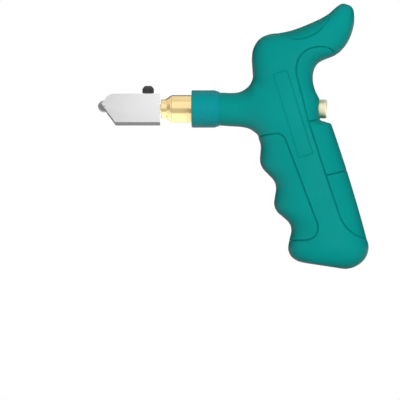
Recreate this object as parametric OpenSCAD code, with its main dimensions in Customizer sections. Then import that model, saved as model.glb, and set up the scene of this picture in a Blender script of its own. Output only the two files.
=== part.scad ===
// Pistol-grip, oil-feed glass and tile cutter.
// +X runs back along the barrel, from the cutting wheel to the filler cap.
// +Z is up, and Y = 0 is the parting plane of the handle.
// The origin is on the barrel's axis, in the middle of the hand grip.

/* [Handle] */
// Half thickness of the grip
grip_half = 13.5; // [12:0.5:16]
// Thickness of the moulded shell, soft pads included
shell_wall = 3.8; // [3.2:0.1:4.6]
// Thickness of the soft pads
pad_thick = 1.8; // [1.2:0.1:2.2]
// Width of the seam round each soft pad
seam = 0.7; // [0.4:0.1:1]
// Lean of the grip back from the vertical
grip_lean = 18; // [14:1:22]
// Length of the grip, from the barrel's axis to the heel
grip_length = 72; // [64:1:84]
// Distance between two finger ridges
finger_pitch = 24.8; // [22:0.2:27]
// Depth of the finger hollows, ridge to hollow
finger_depth = 3.9; // [2:0.1:5]
// Squareness of the handle's sections, 2 is an ellipse
squareness = 2.7; // [2:0.1:3.2]
// Depth of the blank panel in each side
panel_depth = 0.5; // [0.3:0.1:1]

/* [Barrel] */
// Outer diameter of the barrel in front of the collar
barrel_d = 15.2; // [13.6:0.2:16]
// Outer diameter of the reservoir tube in the handle
tube_d = 12; // [11.8:0.1:13]
// Diameter of the oil reservoir
reservoir_d = 9; // [7:0.2:9.4]
// Diameter of the nose
nose_d = 10.3; // [9.6:0.1:12]
// Outer diameter of the collar
collar_d = 20.6; // [19.6:0.1:22]
// Length of the collar
collar_length = 15.5; // [13:0.5:18]
// Length of the barrel that shows in front of the collar
barrel_show = 11.1; // [9:0.5:14]

/* [Head] */
// Length of the cutting head
head_length = 32.8; // [30:0.5:38]
// Height of the head above the barrel's axis
head_up = 8.5; // [7.5:0.1:10]
// Height of the head below the barrel's axis
head_down = 9.1; // [7.5:0.1:10]
// Thickness of the head
head_thick = 7.4; // [7:0.1:9]
// Diameter of the cutting wheel
wheel_d = 6.5; // [5:0.1:7.2]
// Thickness of the cutting wheel
wheel_thick = 1.1; // [0.9:0.05:1.4]
// Diameter of the spindle
spindle_d = 5; // [4.4:0.1:5.2]
// Swivel of the head to each side, in degrees
head_swivel = 8; // [4:1:10]
// Travel of the head against its spring
press_travel = 0.5; // [0.3:0.1:1]

/* [Filler cap] */
// Diameter of the cap
cap_d = 10.4; // [10:0.1:10.8]
// Length of the cap that stands out of the handle
cap_show = 4; // [3:0.5:6]
// Length of the cap's thread below its head
cap_thread = 7.6; // [6:0.2:9]

/* [Hidden] */

$fn = 48;
fit = 0.05;        // radial clearance of a running fit
touch = 0.02;      // gap between two faces that touch
far = 200;         // longer than anything here

// Stations along the barrel's axis
rear_flat = 15.6;                          // flat behind the handle, round the cap
barrel_rear = rear_flat - 1;
collar_rear = -39.5;
collar_front = collar_rear - collar_length;
barrel_front = collar_front - barrel_show; // joint between nose and barrel
nose_length = 5.6;
nose_front = barrel_front - nose_length;
head_rear = nose_front - press_travel - touch;
head_front = head_rear - head_length;
collar_web = 3.5;                          // thickness of the collar's front wall
step_x = collar_front + collar_web;        // where the barrel steps down to the tube

// Neck of the handle
neck_r = 9.15;
spigot_r = neck_r - 0.8;

// Valve: the spring chamber, its seat and what is in it
spigot_length = 8;                         // thread of the nose bush in the barrel
flange_r = spindle_d / 2 + 1.6;
chamber_r = flange_r + 0.4;
bush_r = chamber_r + 1;
seal_thick = 0.6;                          // flat seal between the bush and its seat in the barrel
seal_x = barrel_front + spigot_length - touch - seal_thick;
seat_x = barrel_front + spigot_length + 8; // front face of the valve seat
seat_thick = 2;
seat_bore_r = 1.85;
tail_r = 1.5;
flange_thick = 1.4;
flange_x = barrel_front + 2.8;             // front face of the spindle's flange
spring_x = flange_x + flange_thick;
wire_d = 0.7;
spring_r = 3.2;
spring_turns = 6;
washer_r = 3.2;
washer_thick = 1.5;
washer_x = seat_x + seat_thick + touch;
nut_across = 5.4;
nut_thick = 1.8;
nut_x = washer_x + washer_thick + touch;
tail_end = nut_x + nut_thick + 0.6;

// Head: the wheel sits just inside the point
tip_z = 2.3;
wheel_r = wheel_d / 2;
wheel_x = head_front + 1.9;
wheel_z = tip_z - 0.9;
axle_r = 0.6;
slot_r = wheel_r + 0.6;
slot_width = wheel_thick + 0.2;
bevel = 1.9;                               // bevel along the lower edges
spindle_r = spindle_d / 2;
spindle_front = head_rear - 15.6;
wick_r = 0.75;
wick_front = wheel_x + slot_r;

// Lock screw, its brass pad and the groove that the pad runs in
lock_x = head_rear - 6.6;
lock_r = 2;                                // M4
lock_pitch = 0.7;
lock_head_r = 3.2;
lock_head = 4.1;
pad_r = 1.2;
groove_r = spindle_r - 0.7;
pad_bottom = groove_r + touch;
pad_top = 4.8;
pad_corner = atan(pad_r / pad_bottom);
groove_half = pad_corner + head_swivel + 0.6;

// Oil seals, and the cap's thread
o_ring_r = 0.8;
cap_o_ring_r = 0.6;
cap_thread_r = cap_d / 2 - 0.45;

// Handle screws: place in X and Z, and half thickness of the handle there
screw_places = [[-12.5, 31], [24.4, 44.5], [12.8, -41.5], [20.5, -76]];
screw_r = 1.5;
screw_head_r = 2.8;
screw_head = 2.1;
screw_seat = 6.2;                          // Y of the seat under each screw's head
boss_r = 4.2;

// ---- Shapes and curves ----

// Turns a shape drawn along +Z to lie along +X, starting at x
module along_x(x) translate([x, 0, 0]) rotate([0, 90, 0]) children();

// Turns a flat shape drawn as [x, z] upright, from y1 to y2
module upright(y1, y2) translate([0, y2, 0]) rotate([90, 0, 0]) linear_extrude(y2 - y1) children();

// A round bar along X between two stations
module rod(x1, x2, r) along_x(x1) cylinder(r = r, h = x2 - x1);

function unit(v) = v / norm(v);

// One corner [x, z, radius] of an outline, as an arc between its neighbours
function corner(before, at, after, steps) =
    let (
        a = [at[0], at[1]],
        to_before = unit([before[0], before[1]] - a),
        to_after = unit([after[0], after[1]] - a),
        half = acos(max(-1, min(1, to_before * to_after))) / 2,
        middle = unit(to_before + to_after),
        centre = a + middle * at[2] / sin(half),
        start = a + to_before * at[2] / tan(half) - centre,
        side = sign(to_before[0] * to_after[1] - to_before[1] * to_after[0]),
        sweep = 180 - 2 * half
    )
    at[2] <= 0 ? [a] :
    [for (i = [0:steps])
        let (t = -side * sweep * i / steps)
        centre + [start[0] * cos(t) - start[1] * sin(t), start[0] * sin(t) + start[1] * cos(t)]];

// A closed outline whose corners are [x, z, radius]
function rounded(corners, steps = 6) =
    let (n = len(corners))
    [for (i = [0:n - 1]) each corner(corners[(i + n - 1) % n], corners[i], corners[(i + 1) % n], steps)];

// A smooth curve through rows of numbers, with extra rows between each two
function smooth_rows(rows, extra) =
    let (n = len(rows))
    [for (i = [0:n - 2], k = [0:extra - 1])
        let (
            t = k / extra,
            p0 = rows[max(0, i - 1)], p1 = rows[i], p2 = rows[i + 1], p3 = rows[min(n - 1, i + 2)]
        )
        0.5 * (2 * p1 + (p2 - p0) * t + (2 * p0 - 5 * p1 + 4 * p2 - p3) * t * t
            + (3 * p1 - p0 - 3 * p2 + p3) * t * t * t),
     rows[n - 1]];

// ---- Handle form ----

// Directions down the grip and towards its front
down = [sin(grip_lean), -cos(grip_lean)];
front = [-cos(grip_lean), -sin(grip_lean)];
grip_front = 24;    // the grip's mean front edge from its lean line
grip_back = 18.55;  // its back edge, which is nearly straight
heel = grip_length;

// The front edge with its finger hollows, and the straight back edge
function finger_edge(s) =
    s * down + (grip_front - 0.018 * s
        + finger_depth / 2 * (0.8 + 0.009 * s) * cos(360 * (s - heel - 1.4) / finger_pitch)) * front;
function back_edge(s) = s * down - (grip_back - 0.0006 * (s - 35) * (s - 35)) * front;

// A section row is [front x, front z, rear x, rear z, half thickness]
function section(f, r, half) = [f[0], f[1], r[0], r[1], half];

heel_f = finger_edge(heel);
heel_r = back_edge(heel + 13);
butt_rows = [
    section(heel_f + [9.8, -8.5], heel_r + [-13, -12.5], grip_half - 7.5),
    section(heel_f + [5.6, -7.5], heel_r + [-8.4, -11.6], grip_half - 4.4),
    section(heel_f + [2.2, -5.4], heel_r + [-3.7, -8.7], grip_half - 2),
    section(heel_f + [0.4, -2.4], heel_r + [-0.9, -4.7], grip_half - 0.6)
];
grip_count = 15;
grip_top_f = 9.8;   // how far down the grip its top section starts, front and back
grip_top_r = 14.3;
grip_rows = [
    for (i = [0:grip_count])
        let (t = i / grip_count)
        section(
            finger_edge(heel + (grip_top_f - heel) * t),
            back_edge(heel + 13 + (grip_top_r - heel - 13) * t),
            grip_half
        )
];
// The waist round the barrel, with the step under the filler cap
waist_rows = [
    [-18.4, -13.8, rear_flat, -6.2, grip_half],
    [-19.4, -9, rear_flat, -3, grip_half],
    [-20, 0, rear_flat, 1.5, grip_half],
    [-20.6, 8, rear_flat - 0.1, 5.4, grip_half]
];
// The horn that rests over the web of the hand
horn_rows = [
    [-20.9, 13, rear_flat - 2.2, 9.3, grip_half],
    [-21.2, 17.5, 12, 13.9, grip_half],
    [-21.6, 23, 11.8, 18.5, grip_half],
    [-21.8, 28, 12.8, 22.5, grip_half],
    [-21, 33.2, 14.6, 25.1, grip_half],
    [-17.8, 38.3, 16.8, 26.5, grip_half],
    [-12.6, 41, 19.1, 27.5, grip_half - 0.1],
    [-6, 41.9, 21.6, 28.4, grip_half - 0.3],
    [0, 43.2, 24.4, 29.7, grip_half - 0.6],
    [6, 45.3, 27.1, 31.8, grip_half - 1],
    [11.6, 47.7, 29.7, 34.8, grip_half - 1.5],
    [16.6, 50, 31.9, 38.5, grip_half - 2.1],
    [20.7, 52.6, 33.5, 42.8, grip_half - 2.9],
    [23.3, 54.9, 34.5, 47.6, grip_half - 4.2],
    [25.4, 56.6, 34.5, 52, grip_half - 6],
    [27.2, 57.8, 33.9, 55.2, grip_half - 8.2],
    [28.9, 58.1, 32.2, 57, grip_half - 10.8]
];

// The lower part bends gently, the step is sharp, and the horn bends gently again
function handle_rows(extra) = concat(
    smooth_rows(concat(butt_rows, grip_rows), extra),
    smooth_rows(waist_rows, 1),
    smooth_rows(horn_rows, extra)
);

// One closed section ring, taken in by inset all round
function ring(row, inset, sides) =
    let (
        f = [row[0], 0, row[1]], r = [row[2], 0, row[3]],
        middle = (f + r) / 2,
        wide = max(0.6, norm(r - f) / 2 - inset),
        thick = max(0.4, row[4] - inset),
        across = unit(r - f)
    )
    [for (i = [0:sides - 1])
        let (
            a = 360 * i / sides,
            c = sign(cos(a)) * pow(abs(cos(a)), 2 / squareness),
            s = sign(sin(a)) * pow(abs(sin(a)), 2 / squareness)
        )
        middle + across * wide * c + [0, thick * s, 0]];

// Skins rings one to the next
module loft(rings)
    for (i = [0:len(rings) - 2])
        hull() {
            n = len(rings[i]);
            polyhedron(concat(rings[i], rings[i + 1]), [[for (k = [0:n - 1]) k], [for (k = [0:n - 1]) n + k]]);
        }

// The round neck that flares into the handle: [x, top, bottom, half thickness, squareness]
neck_rows = [
    [collar_rear + 0.1, neck_r, -neck_r, neck_r, 2],
    [-34, neck_r - 0.3, -neck_r - 0.4, neck_r, 2],
    [-30, neck_r - 0.1, -neck_r - 0.6, neck_r + 0.2, 2.05],
    [-27, neck_r + 0.8, -neck_r - 0.9, neck_r + 0.6, 2.1],
    [-24.5, neck_r + 2.5, -neck_r - 1.4, neck_r + 1.2, 2.15],
    [-22.8, neck_r + 4.3, -neck_r - 2, neck_r + 1.7, 2.2],
    [-21.4, neck_r + 7.2, -neck_r - 2.9, neck_r + 2.1, 2.2],
    [-20, neck_r + 9, -neck_r - 3.9, neck_r + 2.5, 2.25],
    [-17.5, neck_r + 9.6, -neck_r - 5.6, neck_r + 3.1, 2.3],
    [-14, neck_r + 9.8, -neck_r - 6, neck_r + 3.6, 2.4],
    [-9, neck_r + 9.4, -neck_r - 5.8, neck_r + 4.1, 2.5],
    [-4, neck_r + 8.6, -neck_r - 5, neck_r + 4.26, 2.6]
];
function neck_ring(row, inset, sides) =
    let (middle = (row[1] + row[2]) / 2, high = (row[1] - row[2]) / 2 - inset, thick = min(row[3], grip_half - 0.08) - inset)
    [for (i = [0:sides - 1])
        let (
            a = 360 * i / sides,
            c = sign(cos(a)) * pow(abs(cos(a)), 2 / row[4]),
            s = sign(sin(a)) * pow(abs(sin(a)), 2 / row[4])
        )
        [row[0], thick * s, middle + high * c]];

// The whole handle's form, taken in by inset: the neck, grip and horn
module handle_form(inset = 0, extra = 2, sides = 36) {
    rows = handle_rows(extra);
    drop = inset > 0 ? round(inset * 0.55) : 0; // end sections left out, so that the ends are taken in too
    loft([for (i = [drop:len(rows) - 1 - drop]) ring(rows[i], inset, sides)]);
    loft([for (row = neck_rows) neck_ring(row, inset, sides)]);
}

// ---- Panels of the handle, as outlines seen from the side ----

finger_outline = [[-40, -19, 0], [-4.9, -12.8, 5.4], [17.6, -72.1, 7.4], [-30, -72.8, 0]];
web_outline = [[40, -2, 0], [40, 20, 0], [27.5, 27.2, 0], [20.4, 34.2, 9], [-1, 34.2, 13], [9.4, -6.9, 1], [rear_flat + 0.2, -5.8, 0], [40, -6.2, 0]];
upper_palm_outline = [[rear_flat + 0.2, -5.8, 0], [9.4, -6.9, 0.6], [19, -36.6, 1], [50, -29, 0], [50, -6.4, 0]];
lower_palm_outline = [[19, -36.6, 0.6], [30.2, -69.4, 18], [60, -74.5, 0], [60, -26.6, 0]];
thumb_outline = [[-12, 47, 0], [-7.2, 41.4, 0], [2.6, 37.6, 13], [13.6, 41.2, 12], [20, 49, 0], [21.4, 58, 0]];
panel_size = [8, 47.8];
panel_middle = [0.9, -2.8];

// A panel's prism right through the handle, taken in by inset on every edge
module panel(outline, inset) upright(-far / 8, far / 8) offset(delta = -inset) polygon(rounded(outline));

// A soft pad: the outer layer of the handle inside one panel
module pad(outline) intersection() {
    panel(outline, seam / 2);
    difference() {
        handle_form();
        handle_form(pad_thick, 1, 28);
    }
}

// Where all the pads go, a little deeper than the pads
module pad_pockets() difference() {
    for (outline = [finger_outline, web_outline, upper_palm_outline, lower_palm_outline, thumb_outline])
        panel(outline, -seam / 2);
    handle_form(pad_thick + 0.05, 1, 28);
}

// The blank panel's shallow recess, on both sides
module side_panels() for (side = [-1, 1])
    translate([panel_middle[0], side * (grip_half + far / 8 - panel_depth), panel_middle[1]])
        rotate([90, 90 - grip_lean + 0.7, 0])
            linear_extrude(far / 4, center = true) polygon(rounded([
                for (c = [[-1, -1], [1, -1], [1, 1], [-1, 1]])
                    [c[0] * panel_size[1] / 2, c[1] * panel_size[0] / 2, 0.8]
            ]));

// ---- Handle shells ----

// Flange of the barrel that the shells hold, between two ribs
flange = [-20, 3];
locating_r = tube_d / 2 + 2;
locating_flat = tube_d / 2 + 1;

module ribs() {
    // saddle blocks round the barrel
    for (x = [flange[0] - 2.6, flange[0] + flange[1] + 0.1, 6])
        translate([x, -far / 8, -tube_d / 2 - 5]) cube([2.5, far / 4, tube_d + 10]);
    // walls across the hollow of the grip and the horn
    for (s = [26, 50])
        translate([s * down[0], 0, s * down[1]]) rotate([0, grip_lean, 0])
            cube([far / 2, far / 4, 1.6], center = true);
    translate([1, 0, 26]) rotate([0, 20, 0]) cube([far / 2, far / 4, 1.6], center = true);
}

module bosses() for (p = screw_places)
    translate([p[0], 0, p[1]]) rotate([90, 0, 0]) cylinder(r = boss_r, h = far / 4, center = true, $fn = 24);

// Both shells in one, before they part at Y = 0
module handle_blank() difference() {
    union() {
        difference() {
            handle_form();
            handle_form(shell_wall, 1, 20);
        }
        intersection() {
            handle_form(shell_wall - 0.3, 1, 20);
            union() {
                ribs();
                bosses();
            }
        }
        rod(step_x + 0.1, collar_rear + 0.4, spigot_r);
    }
    pad_pockets();
    side_panels();
    // the barrel's way through, and its flange
    rod(step_x - 1, rear_flat + 5, tube_d / 2 + fit);
    rod(barrel_rear - 0.3, rear_flat + 5, cap_d / 2 + 0.4);
    rod(flange[0] - 0.1, flange[0] + flange[1] + 0.1, locating_r + 0.1);
}

module left_shell() color([0.08, 0.56, 0.53]) difference() {
    intersection() {
        handle_blank();
        translate([-far / 2, -far, -far / 2]) cube([far, far, far]);
    }
    for (p = screw_places)
        translate([p[0], 0.1, p[1]]) rotate([90, 0, 0]) cylinder(r = screw_r, h = 9.1, $fn = 20);
}

module right_shell() color([0.08, 0.56, 0.53]) difference() {
    intersection() {
        handle_blank();
        translate([-far / 2, touch, -far / 2]) cube([far, far, far]);
    }
    for (p = screw_places) translate([p[0], 0, p[1]]) rotate([-90, 0, 0]) {
        cylinder(r = screw_r + 0.2, h = far / 8, $fn = 20);
        translate([0, 0, screw_seat]) cylinder(r = screw_head_r + 0.3, h = far / 8, $fn = 24);
    }
}

module finger_grip() color([0.09, 0.58, 0.55]) pad(finger_outline);

module web_grip() color([0.09, 0.58, 0.55]) difference() {
    pad(web_outline);
    rod(0, barrel_rear + 0.3, tube_d / 2 + 0.1);
    rod(0, far / 4, cap_d / 2 + 0.4);
}

module upper_palm_pad() color([0.09, 0.58, 0.55]) difference() {
    pad(upper_palm_outline);
    rod(0, barrel_rear + 0.3, tube_d / 2 + 0.1);
}

module lower_palm_pad() color([0.09, 0.58, 0.55]) pad(lower_palm_outline);

module thumb_pad() color([0.07, 0.5, 0.47]) pad(thumb_outline);

module shell_screws() color([0.6, 0.6, 0.62])
    for (p = screw_places) translate([p[0], 0, p[1]]) rotate([-90, 0, 0]) difference() {
        union() {
            translate([0, 0, -8.6]) cylinder(r = screw_r - fit, h = screw_seat + 8.7);
            translate([0, 0, screw_seat + touch]) cylinder(r = screw_head_r, h = screw_head);
        }
        // cross recess
        for (a = [0, 90]) rotate(a) translate([-1.5, -0.35, screw_seat + screw_head - 1.2]) cube([3, 0.7, 2]);
    }

// ---- Collar and barrel ----

module neck_collar() color([0.09, 0.6, 0.62]) difference() {
    along_x(collar_front) rotate_extrude() polygon(rounded([
        [barrel_d / 2 + fit, 0, 0],
        [collar_d / 2, 0, 0.8],
        [collar_d / 2, collar_length - 2.8, 0.5],
        [neck_r + 0.2, collar_length, 0.3],
        [barrel_d / 2 + fit, collar_length, 0]
    ]));
    rod(step_x, collar_rear + 1, spigot_r + fit);
}

module barrel() color([0.85, 0.66, 0.33]) difference() {
    union() {
        along_x(barrel_front) rotate_extrude() polygon(rounded([
            [0, 0, 0], [barrel_d / 2, 0, 0.4], [barrel_d / 2, step_x - barrel_front, 0.3], [0, step_x - barrel_front, 0]
        ]));
        rod(step_x - 1, barrel_rear, tube_d / 2);
        intersection() {
            rod(flange[0], flange[0] + flange[1], locating_r);
            translate([-far / 2, -far / 2, -locating_flat]) cube([far, far, 2 * locating_flat]);
        }
    }
    rod(barrel_front - 1, barrel_front + spigot_length, bush_r + fit);
    rod(barrel_front, seat_x, chamber_r);
    rod(seat_x - 1, seat_x + seat_thick + 1, seat_bore_r);
    rod(seat_x + seat_thick, barrel_rear + 1, reservoir_d / 2);
    rod(barrel_rear - cap_thread - 1, barrel_rear + 1, cap_thread_r + fit);
}

module nose_bush() color([0.87, 0.7, 0.38]) difference() {
    along_x(nose_front) rotate_extrude() polygon(rounded([
        [spindle_r + fit, 0, 0],
        [nose_d / 2, 0, 0.35],
        [nose_d / 2, 2, 1.6],
        [barrel_d / 2 - 0.5, nose_length - 0.7, 0.5],
        [barrel_d / 2 - 0.3, nose_length - touch, 0],
        [bush_r, nose_length - touch, 0],
        [bush_r, seal_x - touch - nose_front, 0.2],
        [spindle_r + fit, seal_x - touch - nose_front, 0]
    ]));
    // groove of the spindle's seal, and the room for the spindle's flange
    rod(nose_front + 2.2, nose_front + 4, spindle_r + 2 * o_ring_r + fit);
    rod(flange_x - fit, far / 2, chamber_r - 0.1);
}

module nose_seal() color([0.12, 0.12, 0.12]) along_x(seal_x) rotate_extrude()
    translate([chamber_r, 0]) square([bush_r - chamber_r, seal_thick]);

// ---- Spindle and valve ----

module spindle_o_ring() color([0.1, 0.1, 0.1]) along_x(nose_front + 3.1) rotate_extrude()
    translate([spindle_r + o_ring_r + touch, 0]) circle(r = o_ring_r, $fn = 24);

module spindle() color([0.82, 0.64, 0.32]) difference() {
    union() {
        rod(spindle_front, flange_x + 0.2, spindle_r);
        rod(flange_x, spring_x, flange_r);
        rod(spring_x - 0.5, tail_end, tail_r);
    }
    // feed bore for the wick, with its cross hole in the spring chamber
    rod(spindle_front - 1, spring_x + 3, wick_r + 0.05);
    translate([spring_x + 2, 0, 0]) cylinder(r = 0.6, h = 10, center = true);
    // groove that the lock pad runs in; its ends stop the head's swivel
    along_x(lock_x - pad_r - 0.15) rotate(180 - groove_half) rotate_extrude(angle = 2 * groove_half)
        translate([groove_r, 0]) square([2, 2 * pad_r + 0.3]);
}

module wick() color([0.93, 0.9, 0.82]) rod(wick_front, spring_x + 2.8, wick_r - 0.02);

// The return spring, a wire that winds round the spindle's tail
module return_spring() color([0.7, 0.7, 0.72]) {
    length = seat_x - spring_x - wire_d - 2 * touch;
    sides = 6;
    per_turn = 14;
    count = spring_turns * per_turn;
    points = [for (i = [0:count], k = [0:sides - 1])
        let (
            turn = 360 * i / per_turn,
            a = 360 * k / sides,
            r = spring_r + wire_d / 2 * cos(a)
        )
        [spring_x + wire_d / 2 + touch + length * i / count + wire_d / 2 * sin(a), r * cos(turn), r * sin(turn)]];
    polyhedron(points, concat(
        [[for (k = [sides - 1:-1:0]) k]],
        [for (i = [0:count - 1], k = [0:sides - 1])
            let (a = i * sides + k, b = i * sides + (k + 1) % sides)
            [a, b, b + sides, a + sides]],
        [[for (k = [0:sides - 1]) count * sides + k]]
    ));
}

module valve_washer() color([0.1, 0.1, 0.1]) difference() {
    rod(washer_x, washer_x + washer_thick, washer_r);
    rod(washer_x - 1, washer_x + washer_thick + 1, tail_r + touch);
}

module valve_nut() color([0.8, 0.62, 0.3]) difference() {
    along_x(nut_x) cylinder(d = nut_across / cos(30), h = nut_thick, $fn = 6);
    rod(nut_x - 1, nut_x + nut_thick + 1, tail_r + touch);
}

// ---- Cutting head ----

head_outline = [
    [head_front, tip_z, 0.5],
    [head_front + 4.7, head_up, 5],
    [head_rear, head_up, 0.4],
    [head_rear, -head_down, 0.3],
    [head_front + 8.4, -head_down, 0.4]
];

module cutter_head() color([0.86, 0.86, 0.87]) difference() {
    upright(-head_thick / 2, head_thick / 2) polygon(rounded(head_outline, 8));
    // bevels along the lower edge and under the point
    for (side = [-1, 1]) {
        translate([0, side * head_thick / 2, -head_down]) rotate([45, 0, 0])
            cube([far * 2, bevel * sqrt(2), bevel * sqrt(2)], center = true);
        translate([head_front, side * head_thick / 2, tip_z]) rotate([0, 53.4, 0]) rotate([45, 0, 0])
            cube([far / 4, 0.9, 0.9], center = true);
    }
    // slot for the wheel, and the axle's hole through both cheeks
    translate([wheel_x, 0, wheel_z]) rotate([90, 0, 0]) {
        cylinder(r = slot_r, h = slot_width, center = true);
        cylinder(r = axle_r, h = far / 4, center = true);
    }
    // bore for the spindle, and the feed hole to the wheel
    rod(spindle_front - 0.5, head_rear + 1, spindle_r + fit);
    rod(wheel_x, spindle_front, wick_r + 0.05);
    // lock screw's tapped hole, and the pad's hole below it
    translate([lock_x, 0, pad_top]) cylinder(r = lock_r + fit, h = far / 4);
    translate([lock_x, 0, 0]) cylinder(r = pad_r + fit, h = far / 4);
}

module wheel_axle() color([0.55, 0.56, 0.58]) translate([wheel_x, 0, wheel_z]) rotate([90, 0, 0])
    cylinder(r = axle_r - 0.01, h = head_thick - 0.1, center = true);

module cutting_wheel() color([0.45, 0.46, 0.48]) translate([wheel_x, 0, wheel_z]) rotate([90, 0, 0]) difference() {
    rotate_extrude() polygon([
        [axle_r + 0.02, -wheel_thick / 2], [wheel_r - 0.75, -wheel_thick / 2], [wheel_r, 0],
        [wheel_r - 0.75, wheel_thick / 2], [axle_r + 0.02, wheel_thick / 2]
    ]);
}

module lock_pad() color([0.84, 0.66, 0.33]) translate([lock_x, 0, pad_bottom])
    cylinder(r = pad_r, h = pad_top - pad_bottom);

module lock_screw() color([0.1, 0.1, 0.11]) translate([lock_x, 0, 0]) difference() {
    union() {
        translate([0, 0, pad_top + touch]) cylinder(r = lock_r, h = head_up + 0.5 - pad_top);
        translate([0, 0, head_up + 0.1]) rotate_extrude() polygon(rounded([
            [0, 0, 0], [lock_head_r, 0, 0.2], [lock_head_r, lock_head - 1.6, 1],
            [lock_head_r - 1.4, lock_head, 0.4], [0, lock_head, 0]
        ]));
    }
    translate([0, 0, head_up + lock_head - 1.9]) cylinder(d = 2.5 / cos(30), h = 10, $fn = 6);
}

// ---- Filler cap ----

module cap_o_ring() color([0.1, 0.1, 0.1]) along_x(barrel_rear - 0.7) rotate_extrude()
    translate([cap_thread_r - cap_o_ring_r, 0]) circle(r = cap_o_ring_r, $fn = 24);

module filler_cap() color([0.88, 0.75, 0.48]) difference() {
    union() {
        along_x(barrel_rear + touch) rotate_extrude() polygon(rounded([
            [0, 0, 0], [cap_d / 2, 0, 0.2],
            [cap_d / 2, rear_flat - barrel_rear + cap_show, 1.1], [0, rear_flat - barrel_rear + cap_show, 0]
        ]));
        rod(barrel_rear - cap_thread, barrel_rear + 0.5, cap_thread_r - 2 * cap_o_ring_r - 0.03);
        rod(barrel_rear - cap_thread, barrel_rear - 1.4, cap_thread_r);
    }
    // slot for a coin
    translate([rear_flat + cap_show - 0.9, -0.6, -far / 8]) cube([5, 1.2, far / 4]);
}

left_shell();
right_shell();
finger_grip();
web_grip();
upper_palm_pad();
lower_palm_pad();
thumb_pad();
shell_screws();
neck_collar();
barrel();
nose_bush();
nose_seal();
spindle_o_ring();
spindle();
wick();
return_spring();
valve_washer();
valve_nut();
cutter_head();
wheel_axle();
cutting_wheel();
lock_pad();
lock_screw();
cap_o_ring();
filler_cap();
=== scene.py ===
import math
import bpy
import bmesh
from mathutils import Matrix, Vector
from mathutils.kdtree import KDTree


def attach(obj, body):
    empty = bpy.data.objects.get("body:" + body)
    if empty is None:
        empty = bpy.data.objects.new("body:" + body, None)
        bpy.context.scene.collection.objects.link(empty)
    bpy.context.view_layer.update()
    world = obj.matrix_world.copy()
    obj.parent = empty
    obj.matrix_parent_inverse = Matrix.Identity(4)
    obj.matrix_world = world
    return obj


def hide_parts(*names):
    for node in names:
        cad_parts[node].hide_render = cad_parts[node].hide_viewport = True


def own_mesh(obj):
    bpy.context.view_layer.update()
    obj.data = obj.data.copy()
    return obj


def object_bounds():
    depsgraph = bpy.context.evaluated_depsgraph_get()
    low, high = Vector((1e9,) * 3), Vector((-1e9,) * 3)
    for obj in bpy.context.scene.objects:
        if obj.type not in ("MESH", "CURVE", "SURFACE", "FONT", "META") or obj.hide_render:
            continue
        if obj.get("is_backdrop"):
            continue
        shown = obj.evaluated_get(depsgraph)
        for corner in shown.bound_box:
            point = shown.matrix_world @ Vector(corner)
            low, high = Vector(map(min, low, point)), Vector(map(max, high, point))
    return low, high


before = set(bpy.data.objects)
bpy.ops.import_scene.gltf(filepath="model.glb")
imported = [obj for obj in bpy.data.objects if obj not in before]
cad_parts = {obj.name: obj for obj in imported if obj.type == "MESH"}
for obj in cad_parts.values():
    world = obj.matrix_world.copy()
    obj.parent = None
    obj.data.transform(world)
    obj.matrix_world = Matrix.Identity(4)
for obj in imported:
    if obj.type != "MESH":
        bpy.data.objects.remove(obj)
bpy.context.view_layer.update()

mm = 0.001  # pieces are drawn in millimetres and brought to metres at the end


def placed(bm, name):
    mesh = bpy.data.meshes.new(name)
    bm.to_mesh(mesh)
    bm.free()
    obj = bpy.data.objects.new(name, mesh)
    bpy.context.scene.collection.objects.link(obj)
    return obj


def toObject(bm, name):
    bmesh.ops.remove_doubles(bm, verts=bm.verts, dist=1e-4)
    bmesh.ops.recalc_face_normals(bm, faces=bm.faces)
    return placed(bm, name)


def applyModifiers(obj):
    bpy.context.view_layer.update()
    shaped = bpy.data.meshes.new_from_object(obj.evaluated_get(bpy.context.evaluated_depsgraph_get()))
    obj.modifiers.clear()
    old = obj.data
    obj.data = shaped
    bpy.data.meshes.remove(old)


def combine(target, tool, operation, keepTool=False):
    step = target.modifiers.new(operation, "BOOLEAN")
    step.operation = operation
    step.solver = "MANIFOLD"
    step.object = tool
    applyModifiers(target)
    if not keepTool:
        bpy.data.objects.remove(tool)
    return target


def copyOf(obj, name):
    twin = obj.copy()
    twin.data = obj.data.copy()
    twin.name = name
    bpy.context.scene.collection.objects.link(twin)
    return twin


def settle(obj, body, material, nodes, sharp=38):
    obj.data.transform(Matrix.Diagonal((mm, mm, mm, 1)))  # to metres, in the mesh
    obj.data.shade_smooth()
    obj.data.set_sharp_from_angle(angle=math.radians(sharp))
    obj.data.materials.clear()
    obj.data.materials.append(material)
    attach(obj, body)
    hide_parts(*nodes)
    print(obj.name, "triangles", sum(len(p.vertices) - 2 for p in obj.data.polygons))
    return obj


def roundCorners(bm, corners, segments):
    for vert, radius in corners:
        if radius <= 0:
            continue
        arms = [edge.other_vert(vert).co - vert.co for edge in vert.link_edges]
        reach = radius / math.tan(arms[0].angle(arms[1]) / 2)  # from the corner to where the arc starts
        bmesh.ops.bevel(bm, geom=[vert], offset=reach, offset_type="OFFSET", segments=segments,
                        profile=0.5, affect="VERTICES", material=-1)


def flatShape(corners, segments=6):
    bm = bmesh.new()  # a face in the XZ plane, with corners of x, z, radius
    verts = [bm.verts.new((c[0], 0, c[1])) for c in corners]
    bm.faces.new(verts)
    roundCorners(bm, [(v, c[2] if len(c) > 2 else 0) for v, c in zip(verts, corners)], segments)
    return bm


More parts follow.
